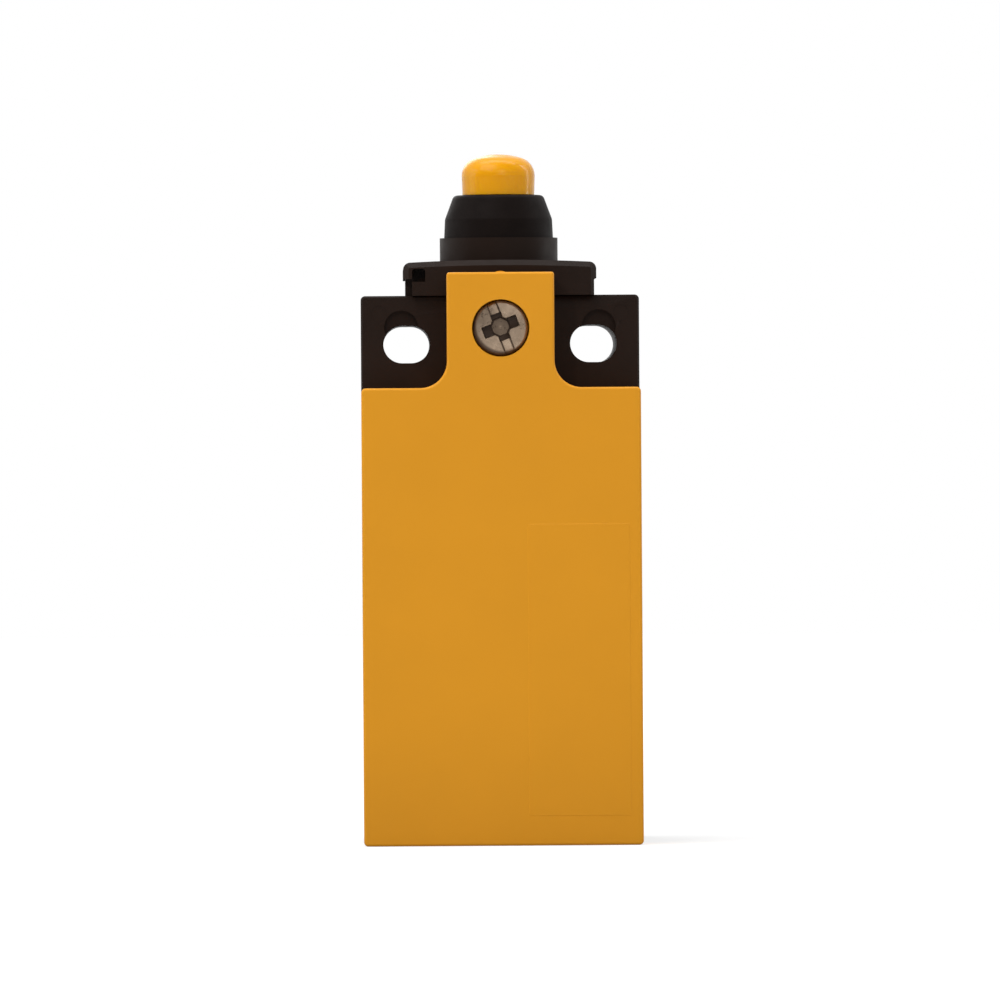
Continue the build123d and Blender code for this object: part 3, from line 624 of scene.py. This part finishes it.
class SWITCH_OT_springs(bpy.types.Operator):
    """Return spring and contact springs"""

    bl_idname = "switch.springs"
    bl_label = "Springs"

    # Each spring's node, its radius in millimetres, its turns and the size that holds its wire
    SPRINGS = (("return_spring", 1.9, 7, "return_wire"),
               ("nc_contact_spring", 1.3, 6, "wire"),
               ("no_contact_spring", 1.3, 6, "wire"))

    def execute(self, context):
        # Spring steel, drawn: dark bright wire with marks along its length
        steel = plain_metal("spring steel, drawn", colours().wire, 0.25)
        for node, radius, turns, wire in self.SPRINGS:
            low, high = millimetres(node)
            spring = surface(f"{node}_coil",
                             coil(middle(node), low[2], high[2], radius, size(wire), turns))
            paint(spring, steel)
            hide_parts(node)
            if node == "nc_contact_spring":
                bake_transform(spring)
            elif node == "no_contact_spring":
                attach(spring, "plunger")
                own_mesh(spring)
            else:
                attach(spring, "housing")
                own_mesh(spring)
        return {"FINISHED"}

    def left_over(self, joint, length):
        """Share of a spring's length that is left at the joint's limit."""
        travel = next(max(j["range_m"]) for j in frame["joints"] if j["name"] == joint) / MM
        return (length - travel) / length


# ---------------------------------------------------------------- studio
class SWITCH_OT_stage(bpy.types.Operator):
    """White floor and surroundings, soft lamps and the camera"""

    bl_idname = "switch.stage"
    bl_label = "Studio"

    # Soft boxes: place in metres from the switch's middle, width, height and watts
    BOXES = (("key", (-0.3, -0.32, 0.55), 0.5, 0.5, 2.5),
             ("fill", (0.6, -0.5, 0.1), 0.9, 0.9, 1.0),
             ("top", (0.0, 0.05, 0.45), 0.55, 0.14, 1.0),
             ("strip", (0.72, 0.22, 0.3), 0.05, 0.7, 1.3),
             ("left", (-0.8, 0.0, 0.25), 0.4, 0.5, 1.0),
             ("glint", (0.16, -0.85, 0.42), 0.4, 0.45, 1.1),
             ("back", (-0.2, 0.7, 0.35), 0.4, 0.4, 1.0))

    def execute(self, context):
        scene = context.scene
        scene.view_settings.view_transform = "Standard"
        self.surroundings(scene)
        self.floor(scene)
        self.lamps(scene)
        self.camera(scene)
        return {"FINISHED"}

    def seen(self, tree, path):
        """1 for rays from the camera, from gloss and through glass, which see the background."""
        some = add(tree, "ShaderNodeMath", {0: path["Is Camera Ray"], 1: path["Is Glossy Ray"]})
        return add(tree, "ShaderNodeMath", {0: some, 1: path["Is Transmission Ray"]},
                   use_clamp=True)

    def surroundings(self, scene, ambient=0.35, room=0.15, blend=0.3):
        """White for the eye, and a plain soft light on surfaces. Reflections and glass show the
        same white behind the switch and, behind the camera, the dimmer room."""
        world = bpy.data.worlds.new("studio")
        scene.world = world
        tree = empty_tree(world)
        path = add(tree, "ShaderNodeLightPath").outputs
        direction = add(tree, "ShaderNodeTexCoord").outputs["Generated"]
        rearward = add(tree, "ShaderNodeSeparateXYZ", {"Vector": direction}).outputs["Y"]
        around = add(tree, "ShaderNodeMapRange", {
            "Value": rearward, "From Min": -blend, "From Max": blend, "To Min": room,
            "To Max": 1.0})
        soft = add(tree, "ShaderNodeMix", {0: self.seen(tree, path), 2: ambient, 3: around})
        white = add(tree, "ShaderNodeMix", {0: path["Is Camera Ray"], 2: soft, 3: 1.0})
        back = add(tree, "ShaderNodeBackground", {"Color": (1, 1, 1, 1), "Strength": white})
        add(tree, "ShaderNodeOutputWorld", {"Surface": back})

    def floor(self, scene, reach=1.5, gap=0.02, near=(0.1, 0.62), far=(0.7, 0.9), grey=0.45):
        """Square of floor a hair below the switch. It keeps the shadow, and what the lamps leave
        grey is topped up to white for the eye: near and far are each a distance from the middle
        and the strength there."""
        level = cad_box[0][2] - gap * MM
        edge = reach * np.array([[-1, -1], [1, -1], [1, 1], [-1, 1]])
        mesh = bpy.data.meshes.new("floor")
        mesh.from_pydata([(x, y, level) for x, y in edge], [], [(0, 1, 2, 3)])
        floor = bpy.data.objects.new("floor", mesh)
        scene.collection.objects.link(floor)
        # Paper, uncoated: matt and without a seam
        made = bpy.data.materials.new("white paper, uncoated")
        tree = empty_tree(made)
        metres = add(tree, "ShaderNodeTexCoord").outputs["Object"]
        away = add(tree, "ShaderNodeVectorMath", {0: metres}, operation="LENGTH").outputs["Value"]
        lack = add(tree, "ShaderNodeMapRange", {
            "Value": away, "From Min": near[0], "From Max": far[0], "To Min": near[1],
            "To Max": far[1]})
        seen = self.seen(tree, add(tree, "ShaderNodeLightPath").outputs)
        strength = add(tree, "ShaderNodeMath", {0: seen, 1: lack}, operation="MULTIPLY")
        paper = add(tree, "ShaderNodeBsdfDiffuse", {"Color": (grey, grey, grey, 1)})
        glow = add(tree, "ShaderNodeEmission", {"Color": (1, 1, 1, 1), "Strength": strength})
        both = add(tree, "ShaderNodeAddShader", {0: paper, 1: glow})
        add(tree, "ShaderNodeOutputMaterial", {"Surface": both})
        paint(floor, made)

    def lamps(self, scene):
        """The soft boxes, and a soft-edged spot that lights the upper part of the switch a little
        more and isn't seen in gloss."""
        centre = (Vector(cad_box[0]) + Vector(cad_box[1])) / 2
        for name, place, width, height, watts in self.BOXES:
            box = bpy.data.lights.new(name, "AREA")
            box.shape, box.size, box.size_y = "RECTANGLE", width, height
            box.energy = watts
            self.hang(scene, box, centre, Vector(place))
        spot = bpy.data.lights.new("spot", "SPOT")
        spot.energy, spot.shadow_soft_size = 5.2, 0.012
        spot.spot_size, spot.spot_blend = math.radians(7.3), 0.7
        target, away = Vector((-0.007, -0.0335, -0.0075)), Vector((-0.2, -0.7, 0.3))
        self.hang(scene, spot, target, away).visible_glossy = False

    def hang(self, scene, light, target, away):
        """Hangs a lamp the given way from its target and turns it there."""
        lamp = bpy.data.objects.new(light.name, light)
        lamp.location = target + away
        lamp.rotation_euler = (-away).to_track_quat("-Z", "Y").to_euler()
        scene.collection.objects.link(lamp)
        return lamp

    def camera(self, scene, distance=1.526, azimuth=-0.52, elevation=0.3, roll=0.38,
               aim=(-0.2, -33.5, -17.35), scale=9.03):
        """Camera at the given distance in metres from the cover's face, turned left of straight on
        and rolled a little, in degrees. A millimetre of that face takes up scale thousandths of
        the picture's width."""
        data = bpy.data.cameras.new("camera")
        data.lens = data.sensor_width * scale * distance
        camera = bpy.data.objects.new("camera", data)
        side, lift = math.radians(azimuth), math.radians(elevation)
        away = Vector((math.sin(side) * math.cos(lift), -math.cos(side) * math.cos(lift),
                       math.sin(lift)))
        look = (-away).to_track_quat("-Z", "Y").to_matrix().to_4x4()
        camera.matrix_world = (Matrix.Translation(Vector(aim) * MM + away * distance) @ look
                               @ Matrix.Rotation(math.radians(-roll), 4, "Z"))
        scene.collection.objects.link(camera)
        scene.camera = camera


class SWITCH_PT_panel(bpy.types.Panel):
    """Lists the switch's operators, colours and sizes."""

    bl_idname = "SWITCH_PT_panel"
    bl_label = "Limit Switch"
    bl_space_type = "VIEW_3D"
    bl_region_type = "UI"
    bl_category = "Limit Switch"

    def draw(self, context):
        for operator in OPERATORS:
            self.layout.operator(operator.bl_idname)
        for group in (context.scene.switch_colours, context.scene.switch_sizes):
            box = self.layout.box()
            for name in group.__annotations__:
                box.prop(group, name)


OPERATORS = (SWITCH_OT_stage, SWITCH_OT_housing, SWITCH_OT_cover, SWITCH_OT_cover_screw,
             SWITCH_OT_plunger, SWITCH_OT_contacts, SWITCH_OT_springs)
CLASSES = (SwitchColours, SwitchSizes, *OPERATORS, SWITCH_PT_panel)


def register():
    """Registers the classes and gives each scene its colours and sizes."""
    for made in CLASSES:
        bpy.utils.register_class(made)
    bpy.types.Scene.switch_colours = bpy.props.PointerProperty(type=SwitchColours)
    bpy.types.Scene.switch_sizes = bpy.props.PointerProperty(type=SwitchSizes)


def unregister():
    """Takes back what register did."""
    del bpy.types.Scene.switch_sizes
    del bpy.types.Scene.switch_colours
    for made in reversed(CLASSES):
        bpy.utils.unregister_class(made)


def main():
    """Builds the stage and the switch."""
    register()
    bpy.ops.switch.stage()
    bpy.ops.switch.housing()
    bpy.ops.switch.cover()
    bpy.ops.switch.cover_screw()
    bpy.ops.switch.plunger()
    bpy.ops.switch.contacts()
    bpy.ops.switch.springs()


if __name__ == "__main__":
    main()
